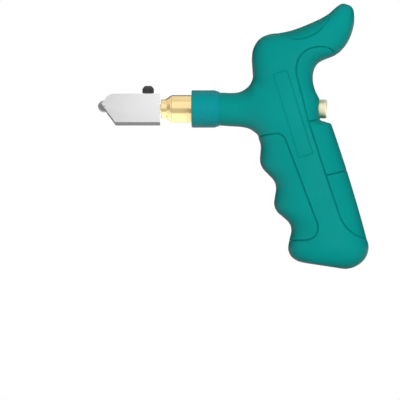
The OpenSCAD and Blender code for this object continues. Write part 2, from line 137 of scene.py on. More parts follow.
def prism(corners, low, high, grow=0, segments=6, name="prism"):
    bm = flatShape(corners, segments)
    if grow:
        rim = bmesh.ops.inset_region(bm, faces=bm.faces[:], thickness=-grow,  # below zero, so the outline grows
                                     use_even_offset=True, use_boundary=True)
        bmesh.ops.delete(bm, geom=rim["faces"], context="FACES")
    bmesh.ops.translate(bm, verts=bm.verts, vec=(0, low, 0))
    top = bmesh.ops.extrude_face_region(bm, geom=bm.faces[:])["geom"]
    topVerts = [g for g in top if isinstance(g, bmesh.types.BMVert)]
    bmesh.ops.translate(bm, verts=topVerts, vec=(0, high - low, 0))
    return toObject(bm, name)


def block(low, high, name="block"):
    bm = bmesh.new()
    bmesh.ops.create_cube(bm, size=1)
    size = [h - l for l, h in zip(low, high)]
    bmesh.ops.scale(bm, verts=bm.verts, vec=size)
    bmesh.ops.translate(bm, verts=bm.verts, vec=[(l + h) / 2 for l, h in zip(low, high)])
    return toObject(bm, name)


def rod(start, end, radius, steps=48, name="rod"):
    start, end = Vector(start), Vector(end)
    bm = bmesh.new()
    bmesh.ops.create_cone(bm, cap_ends=True, segments=steps, radius1=radius, radius2=radius,
                          depth=(end - start).length)
    turn = (end - start).to_track_quat("Z", "Y").to_matrix().to_4x4()
    bmesh.ops.transform(bm, matrix=Matrix.Translation((start + end) / 2) @ turn, verts=bm.verts)
    return toObject(bm, name)


def turned(corners, name, steps=128, segments=5):
    bm = flatShape(corners, segments)  # the half section, x along the axis and z the radius
    bmesh.ops.delete(bm, geom=bm.faces[:], context="FACES_ONLY")
    onAxis = [e for e in bm.edges if all(v.co.z < 1e-6 for v in e.verts)]
    bmesh.ops.delete(bm, geom=onAxis, context="EDGES_FACES")
    bmesh.ops.spin(bm, geom=bm.verts[:] + bm.edges[:], cent=(0, 0, 0), axis=(1, 0, 0), dvec=(0, 0, 0),
                   angle=math.tau, steps=steps, use_merge=True)
    return toObject(bm, name)


def stand(obj, axis, place):
    turn = Vector((1, 0, 0)).rotation_difference(Vector(axis)).to_matrix().to_4x4()
    obj.data.transform(Matrix.Translation(Vector(place)) @ turn)
    return obj


def joined(objects, name):
    bm = bmesh.new()
    for obj in objects:
        bm.from_mesh(obj.data)
        bpy.data.objects.remove(obj)
    return placed(bm, name)


handle = dict(  # millimetres, and degrees for the lean
    lean=18, length=72, half=13.5, squareness=2.7, heelDrop=13, rows=15,
    frontReach=24, frontTaper=0.018, frontTop=9.8, fingerPitch=24.8, fingerDepth=3.9, fingerStart=1.4,
    backReach=18.55, backBow=0.0006, bowMiddle=35, backTop=14.3, rearFlat=15.6,
    neck=9.15, neckEnd=-39.46, jointLow=(-27, -22), jointHigh=(0, 24),
    wall=1.2, coreDepth=0.6, padThick=1.8,
    gap=0.004, shoulder=0.56, seamDepth=1.05, edgeSeam=0.15, edgeFrom=0.12, edgeTo=0.6,
    partingDepth=0.22, partingWidth=0.34, partingReach=2, faceFrom=9,
    voxel=0.5, quickVoxel=0.8, sides=120, between=5, innerSides=72, innerBetween=3,
    smoothing=7, neckSmoothing=60, fineReach=[1.3, 0.8], quickReach=[1.0],
    halfWide=25, tubeRoom=6.05, padTubeRoom=6.1, tubeEnd=14.9, capRoom=5.6, capFrom=12, capPadFrom=8,
)
# the seams round the soft pads: corners of x, z and corner radius
fingerOutline = [(-40, -19, 0), (-4.9, -12.8, 5.4), (17.6, -72.1, 7.4), (-30, -72.8, 0)]
webOutline = [(40, -2, 0), (40, 20, 0), (27.5, 27.2, 0), (20.4, 34.2, 9), (-1, 34.2, 13),
              (9.4, -6.9, 1), (15.8, -5.8, 0), (40, -6.2, 0)]
upperPalmOutline = [(15.8, -5.8, 0), (9.4, -6.9, 0.6), (19, -36.6, 1), (50, -29, 0), (50, -6.4, 0)]
lowerPalmOutline = [(19, -36.6, 0.6), (30.2, -69.4, 18), (60, -74.5, 0), (60, -26.6, 0)]
thumbOutline = [(-12, 47, 0), (-7.2, 41.4, 0), (2.6, 37.6, 13), (13.6, 41.2, 12), (20, 49, 0), (21.4, 58, 0)]
padOutlines = [fingerOutline, webOutline, upperPalmOutline, lowerPalmOutline, thumbOutline]
labelPanel = dict(length=48.2, width=8.5, corner=0.8, middle=(0.7, -2.8), lean=17.3, depth=0.36,
                  edgeFrom=-0.22, edgeTo=0.08, groove=0.55, grooveIn=0.3, grooveWidth=0.26)

lean = math.radians(handle["lean"])
downGrip = Vector((math.sin(lean), -math.cos(lean)))
toFront = Vector((-math.cos(lean), -math.sin(lean)))


def fingerEdge(s):
    h = handle
    swing = h["fingerDepth"] / 2 * (0.8 + 0.009 * s)  # the hollows deepen down the grip
    wave = swing * math.cos(math.tau * (s - h["length"] - h["fingerStart"]) / h["fingerPitch"])
    return s * downGrip + (h["frontReach"] - h["frontTaper"] * s + wave) * toFront


def backEdge(s):
    h = handle
    return s * downGrip - (h["backReach"] - h["backBow"] * (s - h["bowMiddle"]) ** 2) * toFront


def smoothRows(rows, between):
    made = []
    for i in range(len(rows) - 1):
        a, b, c, d = (Vector(rows[max(0, min(len(rows) - 1, k))]) for k in (i - 1, i, i + 1, i + 2))
        for k in range(between):
            t = k / between
            made.append(0.5 * (2 * b + (c - a) * t + (2 * a - 5 * b + 4 * c - d) * t * t
                               + (3 * b - a - 3 * c + d) * t ** 3))
    return made + [Vector(rows[-1])]


def handleRows(between):
    half, length, flat, heel = (handle[key] for key in ("half", "length", "rearFlat", "heelDrop"))
    front, rear = fingerEdge(length), backEdge(length + heel)  # rows of front x, z, rear x, z, half thickness
    butt = [(9.8, -8.5, -13, -12.5, 7.5), (5.6, -7.5, -8.4, -11.6, 4.4),
            (2.2, -5.4, -3.7, -8.7, 2), (0.4, -2.4, -0.9, -4.7, 0.6)]
    lower = [(front.x + a, front.y + b, rear.x + c, rear.y + d, half - e) for a, b, c, d, e in butt]
    for i in range(handle["rows"] + 1):
        f = fingerEdge(length + (handle["frontTop"] - length) * i / handle["rows"])
        r = backEdge(length + heel + (handle["backTop"] - length - heel) * i / handle["rows"])
        lower.append((f.x, f.y, r.x, r.y, half))
    waist = [(-18.4, -13.8, flat, -6.2, half), (-19.4, -9, flat, -3, half),
             (-20, 0, flat, 1.5, half), (-20.6, 8, flat - 0.1, 5.4, half)]
    horn = [
        (-20.9, 13, flat - 2.2, 9.3, 0), (-21.2, 17.5, 12, 13.9, 0), (-21.6, 23, 11.8, 18.5, 0),
        (-21.8, 28, 12.8, 22.5, 0), (-21, 33.2, 14.6, 25.1, 0), (-17.8, 38.3, 16.8, 26.5, 0),
        (-12.6, 41, 19.1, 27.5, 0.1), (-6, 41.9, 21.6, 28.4, 0.3), (0, 43.2, 24.4, 29.7, 0.6),
        (6, 45.3, 27.1, 31.8, 1), (11.6, 47.7, 29.7, 34.8, 1.5), (16.6, 50, 31.9, 38.5, 2.1),
        (20.7, 52.6, 33.5, 42.8, 2.9), (23.3, 54.9, 34.5, 47.6, 4.2), (25.4, 56.6, 34.5, 52, 6),
        (27.2, 57.8, 33.9, 55.2, 8.2), (28.9, 58.1, 32.2, 57, 10.8),
    ]
    upper = [h[:4] + (half - h[4],) for h in horn]
    return smoothRows(lower, between) + [Vector(w) for w in waist] + smoothRows(upper, between)


def neckRows():
    n = handle["neck"]  # rows of x, top, bottom, half thickness, squareness
    return [
        (-42, n, -n, n, 2), (-38, n - 0.1, -n - 0.1, n, 2), (-34, n - 0.3, -n - 0.4, n, 2),
        (-30, n - 0.1, -n - 0.6, n + 0.2, 2.05), (-27, n + 0.8, -n - 0.9, n + 0.6, 2.1),
        (-24.5, n + 2.5, -n - 1.4, n + 1.2, 2.15), (-22.8, n + 4.3, -n - 2, n + 1.7, 2.2),
        (-21.4, n + 7.2, -n - 2.9, n + 2.1, 2.2), (-20, n + 9, -n - 3.9, n + 2.5, 2.25),
        (-17.5, n + 9.6, -n - 5.6, n + 3.1, 2.3), (-14, n + 9.8, -n - 6, n + 3.6, 2.4),
        (-9, n + 9.4, -n - 5.8, n + 4.1, 2.5), (-4, n + 8.6, -n - 5, n + 4.26, 2.6),
    ]


def bent(angle, squareness):
    c, s = math.cos(angle), math.sin(angle)
    return math.copysign(abs(c) ** (2 / squareness), c), math.copysign(abs(s) ** (2 / squareness), s)


def loft(rings):
    bm = bmesh.new()
    loops = []
    for ring in rings:
        verts = bmesh.ops.create_circle(bm, cap_ends=False, segments=len(ring), radius=1)["verts"]
        for vert, place in zip(verts, ring):
            vert.co = place
        loops.append(list({e for v in verts for e in v.link_edges}))
    bmesh.ops.contextual_create(bm, geom=loops[0])
    bmesh.ops.contextual_create(bm, geom=loops[-1])
    for a, b in zip(loops, loops[1:]):
        bmesh.ops.bridge_loops(bm, edges=a + b)
    return bm


def handleForm(inset, sides, between, name):
    rows = handleRows(between)
    drop = round(inset * 0.28 * between)  # end sections left out, so that the ends are taken in too
    rings = []
    for row in rows[drop:len(rows) - drop]:
        f, r = Vector((row[0], 0, row[1])), Vector((row[2], 0, row[3]))
        wide, thick = max(0.6, (r - f).length / 2 - inset), max(0.4, row[4] - inset)
        along = (r - f).normalized()
        turns = [bent(math.tau * i / sides, handle["squareness"]) for i in range(sides)]
        rings.append([(f + r) / 2 + along * wide * c + Vector((0, thick * s, 0)) for c, s in turns])
    grip = toObject(loft(rings), name)
    rings = []
    for x, top, bottom, thick, squareness in smoothRows(neckRows(), max(1, between - 2)):
        thick = min(thick, handle["half"] - 0.08) - inset
        turns = [bent(math.tau * i / sides, squareness) for i in range(sides)]
        middle, tall = (top + bottom) / 2, (top - bottom) / 2 - inset
        rings.append([Vector((x, thick * s, middle + tall * c)) for c, s in turns])
    return combine(grip, toObject(loft(rings), "neck"), "UNION")


def outlineTree(outlines, spacing=0.12):
    points = []
    for outline in outlines:
        bm = flatShape(outline, 10)
        for edge in bm.edges:
            a, b = edge.verts[0].co, edge.verts[1].co
            count = max(1, math.ceil((b - a).length / spacing))
            points += [a.lerp(b, k / count) for k in range(count)]
        bm.free()
    tree = KDTree(len(points))
    for k, point in enumerate(points):
        tree.insert(point, k)
    tree.balance()
    return tree


def insideOutline(x, z, corners):
    inside = False
    for a, b in zip(corners, corners[1:] + corners[:1]):
        if (a[1] > z) != (b[1] > z) and x < (b[0] - a[0]) * (z - a[1]) / (b[1] - a[1]) + a[0]:
            inside = not inside
    return inside


def easeIn(value, start, end):
    t = max(0.0, min(1.0, (value - start) / (end - start)))
    return t * t * (3 - 2 * t)


def panelDistance(point):
    turn = math.radians(labelPanel["lean"])  # from the panel's edge, below zero inside it
    x, z = point.x - labelPanel["middle"][0], point.z - labelPanel["middle"][1]
    along = abs(x * math.sin(turn) - z * math.cos(turn))
    across = abs(x * math.cos(turn) + z * math.sin(turn))
    r = labelPanel["corner"]
    a, b = along - labelPanel["length"] / 2 + r, across - labelPanel["width"] / 2 + r
    return math.hypot(max(a, 0), max(b, 0)) + min(max(a, b), 0) - r


def featureDistance(point, seams):
    near = [seams.find(Vector((point.x, 0, point.z)))[2] - handle["gap"] / 2]
    if abs(point.y) < handle["partingReach"]:
        near.append(abs(point.y))
    if abs(point.y) > handle["faceFrom"]:
        near.append(abs(panelDistance(point) + 0.1))
    return min(near)


def depthAt(point, normal, seams):
    shoulder, gap = handle["shoulder"], handle["gap"]
    facing = easeIn(abs(normal.y), handle["edgeFrom"], handle["edgeTo"])
    facing = handle["edgeSeam"] + (1 - handle["edgeSeam"]) * facing  # seams are shallower on the narrow edges
    away = seams.find(Vector((point.x, 0, point.z)))[2]
    u = max(0.0, min(1.0, (gap / 2 + shoulder - away) / shoulder))
    depth = handle["seamDepth"] * facing * u ** 1.5
    side = abs(point.y)
    if side < handle["partingWidth"] and not any(insideOutline(point.x, point.z, o) for o in padOutlines):
        depth = max(depth, handle["partingDepth"] * (1 - side / handle["partingWidth"]))
    if side > handle["faceFrom"]:
        edge = panelDistance(point)
        recess = labelPanel["depth"] * (1 - easeIn(edge, labelPanel["edgeFrom"], labelPanel["edgeTo"]))
        line = math.exp(-((edge + labelPanel["grooveIn"]) / labelPanel["grooveWidth"]) ** 2)
        depth = max(depth, recess + labelPanel["groove"] * line)
    return depth


def shapedForm():
    form = handleForm(0, handle["sides"], handle["between"], "form")
    print("handle loft", len(form.data.vertices), "points")
    even = form.modifiers.new("even", "REMESH")
    even.mode = "VOXEL"
    even.voxel_size = handle["voxel"]
    applyModifiers(form)
    bm = bmesh.new()
    bm.from_mesh(form.data)
    everyAxis = dict(use_axis_x=True, use_axis_y=True, use_axis_z=True)
    for _ in range(handle["smoothing"]):
        bmesh.ops.smooth_vert(bm, verts=bm.verts, factor=0.5, **everyAxis)
    (left, low), (right, high) = handle["jointLow"], handle["jointHigh"]
    joint = [v for v in bm.verts if left < v.co.x < right and low < v.co.z < high and abs(v.co.y) > 1]
    for _ in range(handle["neckSmoothing"]):  # the neck runs into the grip in one sweep
        bmesh.ops.smooth_vert(bm, verts=joint, factor=0.5, **everyAxis)
    seams = outlineTree(padOutlines)
    for reach in handle["fineReach"]:
        fine = [f for f in bm.faces if featureDistance(f.calc_center_median(), seams) < reach]
        fineEdges = list({e for f in fine for e in f.edges})
        bmesh.ops.subdivide_edges(bm, edges=fineEdges, cuts=1, use_grid_fill=True)
    bm.normal_update()
    moves = [v.normal * -depthAt(v.co, v.normal, seams) for v in bm.verts]
    for vert, move in zip(bm.verts, moves):
        vert.co += move
    bm.to_mesh(form.data)
    bm.free()
    print("handle form", len(form.data.vertices), "points")
    squareEnd = block((handle["neckEnd"], -30, -100), (60, 30, 80))  # the neck ends square against the collar
    return combine(form, squareEnd, "INTERSECT")


def cadCore(node, inside):
    bm = bmesh.new()  # the CAD shell's own ribs, bosses and pockets, below the new skin
    bm.from_mesh(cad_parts[node].data)
    bmesh.ops.remove_doubles(bm, verts=bm.verts, dist=1e-7)
    bmesh.ops.scale(bm, verts=bm.verts, vec=(1000, 1000, 1000))
    return combine(placed(bm, node + "Core"), inside, "INTERSECT", keepTool=True)


def innerForm(depth, name):
    return handleForm(depth, handle["innerSides"], handle["innerBetween"], name)


form = shapedForm()
skinInside = innerForm(handle["wall"], "skinInside")
coreOutside = innerForm(handle["coreDepth"], "coreOutside")
padInside = innerForm(handle["padThick"], "padInside")

wide = handle["halfWide"]
skin = copyOf(form, "skin")
combine(skin, skinInside, "DIFFERENCE")
for outline in padOutlines:
    combine(skin, prism(outline, -wide, wide, handle["gap"] / 2, 10), "DIFFERENCE")
print("handle skin", len(skin.data.vertices), "points")


def startFinish(name, **sockets):
    material = bpy.data.materials.new(name)
    material.use_nodes = True
    nodes, links = material.node_tree.nodes, material.node_tree.links
    shader = nodes["Principled BSDF"]
    for key, value in sockets.items():
        shader.inputs[key.replace("_", " ")].default_value = value
    where = nodes.new("ShaderNodeTexCoord").outputs["Object"]
    return material, nodes, links, shader, where


def grain(nodes, links, where, scale, detail=2.0, rough=0.5, stretch=None):
    if stretch:
        place = nodes.new("ShaderNodeMapping")
        place.inputs["Scale"].default_value = stretch
        links.new(where, place.inputs["Vector"])
        where = place.outputs["Vector"]
    noise = nodes.new("ShaderNodeTexNoise")
    noise.inputs["Scale"].default_value = scale
    noise.inputs["Detail"].default_value = detail
    noise.inputs["Roughness"].default_value = rough
    links.new(where, noise.inputs["Vector"])
    return noise.outputs["Fac"]


def spread(nodes, links, value, low, high, toLow, toHigh):
    step = nodes.new("ShaderNodeMapRange")
    for key, number in (("From Min", low), ("From Max", high), ("To Min", toLow), ("To Max", toHigh)):
        step.inputs[key].default_value = number
    links.new(value, step.inputs["Value"])
    return step.outputs["Result"]


def tones(nodes, links, value, *stops):
    ramp = nodes.new("ShaderNodeValToRGB")
    while len(ramp.color_ramp.elements) < len(stops):
        ramp.color_ramp.elements.new(0.5)
    for element, (place, colour) in zip(ramp.color_ramp.elements, stops):
        element.position = place
        element.color = (*colour, 1)
    links.new(value, ramp.inputs["Fac"])
    return ramp.outputs["Color"]


def blended(nodes, links, value, share, other):
    step = nodes.new("ShaderNodeMath")  # value times share, plus other
    step.operation = "MULTIPLY_ADD"
    step.inputs[1].default_value = share
    links.new(value, step.inputs[0])
    links.new(other, step.inputs[2])
    return step.outputs[0]


def relief(nodes, links, shader, layers):
    normal = None
    for height, strength, distance in layers:
        step = nodes.new("ShaderNodeBump")
        step.inputs["Strength"].default_value = strength
        step.inputs["Distance"].default_value = distance
        links.new(height, step.inputs["Height"])
        if normal:
            links.new(normal, step.inputs["Normal"])
        normal = step.outputs["Normal"]
    links.new(normal, shader.inputs["Normal"])


def lighter(colour, amount):
    return tuple(c * amount for c in colour)


tealColour = (0.001, 0.203, 0.187)


def mouldedPlastic(name, colour, rough, grainSize, grainDepth, shine=0.09):
    material, nodes, links, shader, where = startFinish(name, IOR=1.47, Specular_IOR_Level=shine)
    flow = grain(nodes, links, where, 38, 3, 0.55)  # slow changes of tone where the melt flowed
    speck = grain(nodes, links, where, 2400, 2, 0.6)
    paint = tones(nodes, links, blended(nodes, links, speck, 0.3, flow),
                  (0.4, lighter(colour, 0.94)), (0.62, colour), (0.85, lighter(colour, 1.06)))
    links.new(paint, shader.inputs["Base Color"])
    worn = grain(nodes, links, where, 90, 4, 0.6)
    links.new(spread(nodes, links, worn, 0.35, 0.7, rough - 0.04, rough + 0.06), shader.inputs["Roughness"])
    texture = grain(nodes, links, where, 1 / grainSize, 3, 0.6)
    waviness = grain(nodes, links, where, 60, 1, 0.4)
    relief(nodes, links, shader, [(waviness, 0.06, 0.0012), (texture, grainDepth, 0.00006)])
    return material


def machinedMetal(name, colour, rough, along, pitch, depth, tint=0.04):
    material, nodes, links, shader, where = startFinish(name, Metallic=1.0)
    stretch = [0.02 if k != along else 1.0 for k in range(3)]  # fine tool lines that run round the axis
    lines = grain(nodes, links, where, 1 / pitch, 3, 0.7, stretch)
    stain = grain(nodes, links, where, 140, 4, 0.6)
    paint = tones(nodes, links, stain,
                  (0.3, lighter(colour, 1 - tint)), (0.55, colour), (0.8, lighter(colour, 1 + tint / 2)))
    links.new(paint, shader.inputs["Base Color"])
    polish = blended(nodes, links, lines, 0.5, stain)
    links.new(spread(nodes, links, polish, 0.5, 1.0, rough * 0.8, rough * 1.25), shader.inputs["Roughness"])
    scratch = grain(nodes, links, where, 900, 5, 0.65)
    relief(nodes, links, shader, [(lines, depth, 0.00004), (scratch, 0.04, 0.00002)])
    return material


def castMetal(name, colour, rough, metallic):
    material, nodes, links, shader, where = startFinish(name, Metallic=metallic)
    cloud = grain(nodes, links, where, 70, 3, 0.5)
    axes = nodes.new("ShaderNodeSeparateXYZ")
    links.new(where, axes.inputs["Vector"])
    paintedLightToBack = spread(nodes, links, axes.outputs["X"], -0.105, -0.072, 0.05, 0.72)  # painted light: whiter towards the back, standing in for light falling on that end
    paint = tones(nodes, links, blended(nodes, links, cloud, 0.35, paintedLightToBack),
                  (0.1, lighter(colour, 0.97)), (0.95, lighter(colour, 1.3)))
    links.new(paint, shader.inputs["Base Color"])
    fine = grain(nodes, links, where, 3200, 2, 0.6)
    brushed = grain(nodes, links, where, 2600, 3, 0.7, (0.05, 1, 1))  # the last belt ran along the head
    links.new(spread(nodes, links, cloud, 0.3, 0.7, rough - 0.03, rough + 0.05), shader.inputs["Roughness"])
    relief(nodes, links, shader, [(brushed, 0.1, 0.00003), (fine, 0.12, 0.00002)])
    return material


def darkFinish(name, colour, rough, metallic, fineness, depth):
    material, nodes, links, shader, where = startFinish(name, Metallic=metallic)
    cloud = grain(nodes, links, where, 400, 4, 0.6)
    paint = tones(nodes, links, cloud, (0.3, lighter(colour, 0.8)), (0.5, colour), (0.8, lighter(colour, 1.35)))
    links.new(paint, shader.inputs["Base Color"])
    links.new(spread(nodes, links, cloud, 0.3, 0.7, rough - 0.05, rough + 0.08), shader.inputs["Roughness"])
    fine = grain(nodes, links, where, fineness, 3, 0.6)
    relief(nodes, links, shader, [(fine, depth, 0.00004)])
    return material


def feltFinish(name, colour):
    material, nodes, links, shader, where = startFinish(name, Roughness=0.95, Sheen_Weight=0.5)
    fibre = grain(nodes, links, where, 3000, 5, 0.7, (0.15, 1, 1))
    links.new(tones(nodes, links, fibre, (0.3, lighter(colour, 0.75)), (0.7, colour)), shader.inputs["Base Color"])
    relief(nodes, links, shader, [(fibre, 0.8, 0.0001)])
    return material


# grain sizes and pitches are in metres; along is the axis that the turned piece has, 0 for x and 1 for y
shellPlastic = mouldedPlastic("shellPlastic", tealColour, rough=0.42, grainSize=0.00042, grainDepth=0.22)
padRubber = mouldedPlastic("padRubber", lighter(tealColour, 0.99), rough=0.5, grainSize=0.0003, grainDepth=0.32)
# a darker copy of the pad rubber: painted shade on the pad that faces up
thumbRubberShaded = mouldedPlastic("thumbRubberShaded", lighter(tealColour, 0.93), rough=0.5, grainSize=0.0003, grainDepth=0.34)
collarPlastic = mouldedPlastic("collarPlastic", (0.001, 0.21, 0.226), rough=0.3,
                               grainSize=0.0006, grainDepth=0.08, shine=0.12)
turnedBrass = machinedMetal("turnedBrass", (0.93, 0.72, 0.36), rough=0.2, along=0, pitch=0.00022, depth=0.16)
# a paler copy of the turned brass: painted light for the brighter cap
capBrassPaintedLight = machinedMetal("capBrassPaintedLight", (0.98, 0.9, 0.68), rough=0.5, along=0, pitch=0.0002, depth=0.14)
headMetal = castMetal("headMetal", (0.53, 0.53, 0.535), rough=0.45, metallic=0.45)
# a darker copy of the head metal for the downward-facing bevels: painted shade
shadedBevelMetal = castMetal("shadedBevelMetal", (0.16, 0.16, 0.165), rough=0.4, metallic=0.6)
wheelCarbide = machinedMetal("wheelCarbide", (0.3, 0.305, 0.315), rough=0.34, along=1, pitch=0.00012, depth=0.2)
pinSteel = machinedMetal("pinSteel", (0.62, 0.62, 0.63), rough=0.24, along=1, pitch=0.0002, depth=0.12)
springSteel = machinedMetal("springSteel", (0.56, 0.56, 0.58), rough=0.26, along=0, pitch=0.0002, depth=0.12)
blackOxide = darkFinish("blackOxide", (0.07, 0.07, 0.074), rough=0.3, metallic=0.9, fineness=2600, depth=0.12)
sealRubber = darkFinish("sealRubber", (0.018, 0.018, 0.018), rough=0.6, metallic=0, fineness=3000, depth=0.25)
wickFelt = feltFinish("wickFelt", (0.78, 0.74, 0.62))
print("finishes made", len(bpy.data.materials))


def softPad(name, outline, node, material):
    pad = combine(copyOf(form, name), padInside, "DIFFERENCE", keepTool=True)
    combine(pad, prism(outline, -wide, wide, -handle["gap"] / 2, 10), "INTERSECT")
    if node == "web_grip":  # the filler cap comes through here
        combine(pad, rod((handle["capPadFrom"], 0, 0), (wide, 0, 0), handle["capRoom"], 96), "DIFFERENCE")
    if node in ("web_grip", "upper_palm_pad"):  # so does the tube's end
        combine(pad, rod((0, 0, 0), (handle["tubeEnd"], 0, 0), handle["padTubeRoom"], 96), "DIFFERENCE")
    return settle(pad, "handle", material, [node])


softPad("fingerPad", fingerOutline, "finger_grip", padRubber)
softPad("webPad", webOutline, "web_grip", padRubber)
softPad("upperPalmPad", upperPalmOutline, "upper_palm_pad", padRubber)
softPad("lowerPalmPad", lowerPalmOutline, "lower_palm_pad", padRubber)
softPad("thumbPad", thumbOutline, "thumb_pad", thumbRubberShaded)
print("soft pads made")


def shellHalf(name, node, yLow, yHigh):
    half = combine(copyOf(skin, name), block((-100, yLow, -100), (60, yHigh, 80)), "INTERSECT")
    combine(half, cadCore(node, coreOutside), "UNION")
    combine(half, rod((handle["capFrom"], 0, 0), (wide, 0, 0), handle["capRoom"], 96), "DIFFERENCE")
    combine(half, rod((-45, 0, 0), (handle["tubeEnd"], 0, 0), handle["tubeRoom"], 96), "DIFFERENCE")
    if node == "right_shell":  # the screws go in from this side
        for x, z in handleScrew["places"]:
            combine(half, rod((x, handleScrew["well"], z), (x, wide, z), handleScrew["wellRadius"], 64), "DIFFERENCE")
    return settle(half, "handle", shellPlastic, [node])


handleScrew = dict(
    places=[(-12.5, 31), (24.4, 44.5), (12.8, -41.5), (20.5, -76)],  # x and z
    headRadius=2.8, headHeight=2.1, shankRadius=1.45, tip=-8.6, seat=6.22,
    crossWidth=0.7, crossLength=3, crossDepth=1.2, well=6.2, wellRadius=3.1,
)
shellHalf("leftShell", "left_shell", -wide, 0)
shellHalf("rightShell", "right_shell", 0.02, wide)
for spare in (form, skin, coreOutside, padInside):
    bpy.data.objects.remove(spare)
print("handle halves made")


def shellScrews():
    made = []
    h = handleScrew
    top = h["seat"] + h["headHeight"]
    for x, z in h["places"]:
        screw = turned([(h["tip"], 0), (h["tip"], h["shankRadius"], 0.4), (h["seat"], h["shankRadius"]),
                        (h["seat"], h["headRadius"], 0.1), (top - 0.1, h["headRadius"], 0.7), (top, 0)], "screw", 48)
        stand(screw, (0, 1, 0), (x, 0, z))
        for across, along in ((h["crossWidth"], h["crossLength"]), (h["crossLength"], h["crossWidth"])):
            slot = block((x - across / 2, top - h["crossDepth"], z - along / 2),
                         (x + across / 2, top + 1, z + along / 2))
            combine(screw, slot, "DIFFERENCE")
        made.append(screw)
    return settle(joined(made, "shellScrewSet"), "handle", pinSteel, ["shell_screws"])


shellScrews()


collarRing = dict(steps=160, section=[
    (-55, 7.65, 0.1), (-55, 10.3, 0.8), (-42.3, 10.3, 0.5), (-39.5, 9.35, 0.3),
    (-39.5, 8.4, 0.1), (-51.5, 8.4), (-51.5, 7.65)])
collar = turned(collarRing["section"], "collar", collarRing["steps"])
settle(collar, "handle", collarPlastic, ["neck_collar"])

oilBarrel = dict(steps=160, keyFrom=-20.5, keyTo=-16.5, keyFlat=7, section=[
    (-66.1, 5.55), (-66.1, 7.6, 0.4), (-51.5, 7.6, 0.3), (-51.5, 6), (-20, 6), (-20, 8), (-17, 8), (-17, 6),
    (14.6, 6), (14.6, 4.8), (6, 4.8), (6, 4.5), (-48.1, 4.5), (-48.1, 1.85), (-50.1, 1.85), (-50.1, 4.5),
    (-58.1, 4.5), (-58.1, 5.55)])
barrel = turned(oilBarrel["section"], "oilBarrel", oilBarrel["steps"])
for low, high in ((oilBarrel["keyFlat"], 10), (-10, -oilBarrel["keyFlat"])):  # two flats stop the barrel turning
    combine(barrel, block((oilBarrel["keyFrom"], -10, low), (oilBarrel["keyTo"], 10, high)), "DIFFERENCE")
settle(barrel, "handle", turnedBrass, ["barrel"])

noseBush = dict(steps=160, section=[
    (-71.7, 2.55, 0.15), (-71.7, 5.15, 0.35), (-69.3, 5.15, 3), (-66.7, 7.1, 0.4), (-66.12, 7.3, 0.1),
    (-66.12, 5.5), (-58.74, 5.5, 0.2), (-58.74, 4.4), (-63.35, 4.4), (-63.35, 2.55),
    (-67.7, 2.55), (-67.7, 4.15), (-69.5, 4.15), (-69.5, 2.55)])
nose = turned(noseBush["section"], "nose", noseBush["steps"])
settle(nose, "handle", turnedBrass, ["nose_bush"])
print("collar, barrel and nose turned")


cutterHead = dict(
    outline=[(-105.02, 2.3, 0.5), (-100.32, 8.5, 5), (-72.22, 8.5, 0.4), (-72.22, -9.1, 0.3), (-96.62, -9.1, 0.4)],
    half=3.7, lowBevel=1.9, slopeBevel=0.78, slope=53.4, bevelMiddle=-85, edge=0.16, edgeSteps=3,
    wheelPlace=(-103.12, 0, 1.4), wheelRadius=3.25, wheelHalf=0.55, wheelBevel=0.75, wheelBore=0.62,
    slotRadius=3.85, slotHalf=0.65, axleRadius=0.598, axleHalf=3.69, axleHole=0.6,
    bores=[  # start, end, radius, sides
        ((-88.32, 0, 0), (-70, 0, 0), 2.55, 96),  # spindle
        ((-103.12, 0, 0), (-88, 0, 0), 0.8, 32),  # oil to the wheel
        ((-78.82, 0, 4.8), (-78.82, 0, 12), 2.05, 64),  # lock screw
        ((-78.82, 0, 0), (-78.82, 0, 6), 1.25, 48),  # lock pad
    ],
)


def cuttingHead():
    h = cutterHead
    x, _, z = h["wheelPlace"]
    tip, sole = h["outline"][0], h["outline"][-1]
    body = prism(h["outline"], -h["half"], h["half"], 0, 10, "cuttingHeadBody")
    for y in (-h["half"], h["half"]):  # bevels along the lower edge and up the slope
        for reach, place, turn in ((h["lowBevel"], (h["bevelMiddle"], y, sole[1]), 0),
                                   (h["slopeBevel"], (tip[0], y, tip[1]), h["slope"])):
            size = reach / math.sqrt(2)
            edge = block((-60, -size, -size), (60, size, size))
            edge.data.transform(Matrix.Translation(place) @ Matrix.Rotation(math.radians(turn), 4, "Y")
                                @ Matrix.Rotation(math.pi / 4, 4, "X"))
            combine(body, edge, "DIFFERENCE")
    soften = body.modifiers.new("soften", "BEVEL")
    soften.width, soften.segments = h["edge"], h["edgeSteps"]
    soften.limit_method, soften.angle_limit = "ANGLE", math.radians(25)
    applyModifiers(body)
    combine(body, rod((x, -h["slotHalf"], z), (x, h["slotHalf"], z), h["slotRadius"], 96), "DIFFERENCE")
    combine(body, rod((x, -5, z), (x, 5, z), h["axleHole"], 48), "DIFFERENCE")
    for start, end, radius, sides in h["bores"]:
        combine(body, rod(start, end, radius, sides), "DIFFERENCE")
    settle(body, "head", headMetal, ["cutter_head"], 30)
    body.data.materials.append(shadedBevelMetal)
    for face in body.data.polygons:  # in metres by now; the downward-facing bevels take a darker copy of the head metal, painted shade; the rest is blasted
        y, z = abs(face.center.y), face.center.z
        bevel = face.normal.z < -0.3 and 0.3 < abs(face.normal.y) < 0.9 and z < 0.0015
        face.material_index = int(bevel and (y >= 0.0027 or z <= -0.007))
    return body


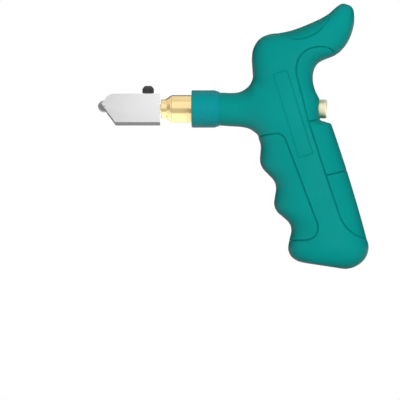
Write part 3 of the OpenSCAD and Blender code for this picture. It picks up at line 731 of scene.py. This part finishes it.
def cuttingWheel():
    h = cutterHead
    r, half, bevel, bore = h["wheelRadius"], h["wheelHalf"], h["wheelBevel"], h["wheelBore"]
    wheel = turned([(-half, bore), (-half, r - bevel, 0.04), (0, r, 0.03), (half, r - bevel, 0.04), (half, bore)],
                   "wheel", 120, 2)
    stand(wheel, (0, 1, 0), h["wheelPlace"])
    end, thick = h["axleHalf"], h["axleRadius"]
    axle = turned([(-end, 0), (-end, thick, 0.03), (end, thick, 0.03), (end, 0)], "axle", 64)
    stand(axle, (0, 1, 0), h["wheelPlace"])
    settle(wheel, "wheel", wheelCarbide, ["cutting_wheel"], 25)
    return settle(axle, "head", pinSteel, ["wheel_axle"])


cuttingHead()
cuttingWheel()


def threadRings(start, stop, radius, depth, pitch):
    corners = []  # plain rings stand for a thread
    while start < stop:
        corners += [(start, radius), (start + pitch / 2, radius - depth)]
        start += pitch
    return corners


lockScrew = dict(
    x=-78.82, low=4.82, seat=8.6, top=12.7, radius=3.2, ribs=26, ribDepth=0.2, ribCuts=4,
    threadRadius=2, threadDepth=0.22, pitch=0.7, socket=2.5, socketDepth=1.9,
)


def makeLockScrew():
    s = lockScrew
    seat, top, radius, thread = s["seat"], s["top"], s["radius"], s["threadRadius"]
    shank = [(s["low"], 0), (s["low"], thread - 0.35)]
    shank += threadRings(s["low"] + 0.35, seat - 0.45, thread, s["threadDepth"], s["pitch"])
    shank += [(seat - 0.05, thread - 0.1), (seat, thread - 0.1)]
    bodyTop = [(seat, radius, 0.2), (top - 1.6, radius, 0.9), (top, radius - 1.4, 0.5), (top, 0)]
    screw = turned(shank + bodyTop, "lockScrewBody", s["ribs"] * 8, 4)
    bm = bmesh.new()
    bm.from_mesh(screw.data)
    side = [v for v in bm.verts if seat + 0.15 < v.co.x < top - 1.5 and math.hypot(v.co.y, v.co.z) > 3]
    upright = {e for v in side for e in v.link_edges if abs(e.verts[0].co.x - e.verts[1].co.x) > 0.8}
    bmesh.ops.subdivide_edges(bm, edges=list(upright), cuts=s["ribCuts"])
    for v in bm.verts:
        r = math.hypot(v.co.y, v.co.z)
        if r > 3 and v.co.x < top - 1.2:
            wave = 0.5 - 0.5 * math.cos(s["ribs"] * math.atan2(v.co.z, v.co.y))
            dip = s["ribDepth"] * wave * easeIn(v.co.x, seat + 0.05, seat + 0.4)
            v.co.y *= 1 - dip / r
            v.co.z *= 1 - dip / r
    bm.to_mesh(screw.data)
    bm.free()
    stand(screw, (0, 0, 1), (s["x"], 0, 0))
    corner = s["socket"] / 2 / math.cos(math.pi / 6)  # the key's size is across the flats
    combine(screw, rod((s["x"], 0, top - s["socketDepth"]), (s["x"], 0, top + 2), corner, 6), "DIFFERENCE")
    return settle(screw, "lock_screw", blackOxide, ["lock_screw"], 40)


makeLockScrew()


fillerCap = dict(
    inner=7, threadEnd=13.2, threadRadius=4.75, threadDepth=0.35, pitch=0.9,
    stem=3.52, seat=14.62, end=19.62, radius=5.2, slotWidth=1.2, slotDepth=0.92,
)


def makeFillerCap():
    c = fillerCap
    inner, threadEnd, thread, end = c["inner"], c["threadEnd"], c["threadRadius"], c["end"]
    corners = [(inner, 0), (inner, thread - 0.5)]
    corners += threadRings(inner + 0.5, threadEnd - 0.5, thread, c["threadDepth"], c["pitch"])
    corners += [(threadEnd, thread - 0.2), (threadEnd, c["stem"]), (c["seat"], c["stem"]),
                (c["seat"], c["radius"], 0.2), (end, c["radius"], 1.1), (end, 0)]
    cap = turned(corners, "oilCap", 160, 6)
    slot = block((end - c["slotDepth"], -c["slotWidth"] / 2, -8), (end + 1, c["slotWidth"] / 2, 8))
    combine(cap, slot, "DIFFERENCE")
    return settle(cap, "filler_cap", capBrassPaintedLight, ["filler_cap"])


makeFillerCap()


returnSpring = dict(
    start=-61.53, end=-50.47, radius=3.2, wire=0.7, wireSides=10, turnSteps=28,
    endTurns=0.9, endPitch=0.72, turns=5, seat=-50.1, pressed=0.957,
)


def makeSpring():
    s = returnSpring
    endTurns, endPitch = s["endTurns"], s["endPitch"]
    pitch = (s["end"] - s["start"] - 2 * endTurns * endPitch) / s["turns"]
    bm = bmesh.new()
    ring = bmesh.ops.create_circle(bm, cap_ends=True, segments=s["wireSides"], radius=s["wire"] / 2)["verts"]
    bmesh.ops.rotate(bm, verts=ring, cent=(0, 0, 0), matrix=Matrix.Rotation(math.pi / 2, 3, "X"))
    bmesh.ops.translate(bm, verts=ring, vec=(s["start"], 0, s["radius"]))
    end = bm.verts[:] + bm.edges[:]
    for turns, rise in ((endTurns, endPitch), (s["turns"], pitch), (endTurns, endPitch)):  # the end turns lie close
        steps = round(turns * s["turnSteps"])
        made = bmesh.ops.spin(bm, geom=end, cent=(0, 0, 0), axis=(1, 0, 0), dvec=(turns * rise / steps, 0, 0),
                              angle=math.tau * turns, steps=steps, use_merge=False)
        end = [part for part in made["geom_last"] if not isinstance(part, bmesh.types.BMFace)]
    bmesh.ops.holes_fill(bm, edges=[e for e in bm.edges if e.is_boundary], sides=0)
    bmesh.ops.recalc_face_normals(bm, faces=bm.faces)
    spring = settle(toObject(bm, "returnSpring"), "handle", springSteel, ["return_spring"])
    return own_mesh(spring)


makeSpring()


kept = dict(nose_seal=sealRubber, spindle_o_ring=sealRubber, spindle=turnedBrass, wick=wickFelt,
            valve_washer=sealRubber, valve_nut=turnedBrass, lock_pad=turnedBrass, cap_o_ring=sealRubber)
for node, material in kept.items():
    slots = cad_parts[node].data.materials
    slots.clear()
    slots.append(material)
print("kept", len(kept), "CAD pieces, with new finishes")


studio = dict(
    floorRadius=9, floorColour=(0.9, 0.9, 0.9), floorRough=0.9, floorGlow=0.5,
    fill=0.15, shown=1.0, boxFront=1.12, boxBack=0.95, gap=0.45, horizon=0.08,
    sides=0.15, sidesFrom=0.82, sidesTo=0.98,
    lamps=[("key", 6.8, 30, 8, 2), ("rear", 3.8, 36, 180, 18)],  # name, strength, size, turn, rise
    cardDistance=0.13, cards=[  # name, left, right, top, glow
        ("leftCard", -1.5, -0.046, 0.009, 0.66), ("rightCard", -0.046, 0.009, 0.009, 0.06),
        ("capCard", 0.009, 0.06, 0.018, 1.12)],
    reflector=[(-0.2, -0.115), (-0.056, -0.115), (-0.056, 0.08), (-0.2, 0.08)], reflectorGlow=1.48,
)


def makeFloor():
    bm = bmesh.new()
    bmesh.ops.create_circle(bm, cap_ends=True, segments=128, radius=studio["floorRadius"])
    bmesh.ops.translate(bm, verts=bm.verts, vec=(0, 0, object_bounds()[0].z - 0.0002))
    floor = placed(bm, "floor")
    material, nodes, links, shader, where = startFinish(
        "paleFloor", Roughness=studio["floorRough"], Specular_IOR_Level=0.2,
        Emission_Color=(1, 1, 1, 1), Emission_Strength=studio["floorGlow"])
    paper = grain(nodes, links, where, 9, 2, 0.5)
    colour = studio["floorColour"]
    links.new(tones(nodes, links, paper, (0.3, lighter(colour, 0.99)), (0.7, colour)), shader.inputs["Base Color"])
    floor.data.materials.append(material)
    floor.visible_diffuse = False  # no bounce, so that the undersides stay darker
    floor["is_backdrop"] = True
    return floor


def makeCard(name, corners, glow):
    bm = bmesh.new()  # a card that only the gloss sees: the dark and the bright band in the metal
    bm.faces.new([bm.verts.new(c) for c in corners])
    card = placed(bm, name)
    card.data.materials.append(startFinish(
        name, Roughness=1.0, Specular_IOR_Level=0.0, Base_Color=(0, 0, 0, 1),
        Emission_Color=(1, 1, 1, 1), Emission_Strength=glow)[0])
    card.visible_camera = card.visible_diffuse = card.visible_shadow = card.visible_transmission = False
    card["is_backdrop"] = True
    return card


def makeSky():
    world = bpy.data.worlds.new("studio")
    bpy.context.scene.world = world
    world.use_nodes = True
    nodes, links = world.node_tree.nodes, world.node_tree.links
    where = nodes.new("ShaderNodeTexCoord").outputs["Generated"]
    axes = nodes.new("ShaderNodeSeparateXYZ")
    links.new(where, axes.inputs["Vector"])
    ahead = nodes.new("ShaderNodeMath")
    ahead.operation = "MULTIPLY"
    ahead.inputs[1].default_value = -1
    links.new(axes.outputs["Y"], ahead.inputs[0])
    turn = nodes.new("ShaderNodeMath")  # angle from the front horizon, over the top, to the back horizon
    turn.operation = "ARCTAN2"
    links.new(axes.outputs["Z"], turn.inputs[0])
    links.new(ahead.outputs[0], turn.inputs[1])
    share = spread(nodes, links, turn.outputs[0], 0, math.pi, 0, 1)
    front, back, gap, dim = studio["boxFront"], studio["boxBack"], studio["gap"], studio["horizon"]
    stops = [(0, dim), (0.022, dim), (0.032, front), (0.38, front), (0.392, gap),
             (0.405, gap), (0.418, back), (0.72, back), (0.82, dim), (1, dim)]
    bands = tones(nodes, links, share, *[(at, (v, v, v)) for at, v in stops])
    sideways = nodes.new("ShaderNodeMath")
    sideways.operation = "ABSOLUTE"
    links.new(axes.outputs["X"], sideways.inputs[0])
    fade = nodes.new("ShaderNodeMix")  # the boxes end far to the left and right
    fade.data_type, fade.blend_type = "RGBA", "MULTIPLY"
    fade.inputs["Factor"].default_value = 1
    links.new(bands, fade.inputs["A"])
    ends = spread(nodes, links, sideways.outputs[0], studio["sidesFrom"], studio["sidesTo"], 1, studio["sides"])
    links.new(ends, fade.inputs["B"])
    rays = nodes.new("ShaderNodeLightPath")
    gloss = nodes.new("ShaderNodeMix")
    gloss.data_type = "RGBA"
    links.new(rays.outputs["Is Glossy Ray"], gloss.inputs["Factor"])
    gloss.inputs["A"].default_value = (studio["fill"],) * 3 + (1,)
    links.new(fade.outputs["Result"], gloss.inputs["B"])
    seen = nodes.new("ShaderNodeMix")
    seen.data_type = "RGBA"
    links.new(rays.outputs["Is Camera Ray"], seen.inputs["Factor"])
    links.new(gloss.outputs["Result"], seen.inputs["A"])
    seen.inputs["B"].default_value = (studio["shown"],) * 3 + (1,)
    links.new(seen.outputs["Result"], nodes["Background"].inputs["Color"])
    nodes["Background"].inputs["Strength"].default_value = 1


def makeLamp(name, strength, size, turn, rise):
    light = bpy.data.lights.new(name, "SUN")
    light.energy, light.angle = strength, math.radians(size)
    lamp = bpy.data.objects.new(name, light)
    bpy.context.scene.collection.objects.link(lamp)
    turn, rise = math.radians(turn), math.radians(rise)
    source = Vector((math.sin(turn) * math.cos(rise), -math.cos(turn) * math.cos(rise), math.sin(rise)))
    lamp.rotation_euler = source.to_track_quat("Z", "Y").to_euler()
    lamp.visible_glossy = False


sideView = dict(across=0.22, place=(-0.0503, -1.2, -0.05005))  # metres


def makeCamera():
    data = bpy.data.cameras.new("camera")
    data.type, data.ortho_scale = "ORTHO", sideView["across"]
    data.clip_start, data.clip_end = 0.05, 60
    camera = bpy.data.objects.new("camera", data)
    bpy.context.scene.collection.objects.link(camera)
    camera.location = sideView["place"]
    camera.rotation_euler = (math.pi / 2, 0, 0)
    bpy.context.scene.camera = camera


makeFloor()
low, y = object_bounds()[0].z, -studio["cardDistance"]
for name, left, right, top, glow in studio["cards"]:
    makeCard(name, [(left, y, low), (right, y, low), (right, y, top), (left, y, top)], glow)
makeCard("lowCard", [(x, y, low + 0.0004) for x, y in studio["reflector"]], studio["reflectorGlow"])
makeSky()
for lamp in studio["lamps"]:
    makeLamp(*lamp)
makeCamera()
bpy.context.scene.view_settings.view_transform = "Standard"
print("studio ready")
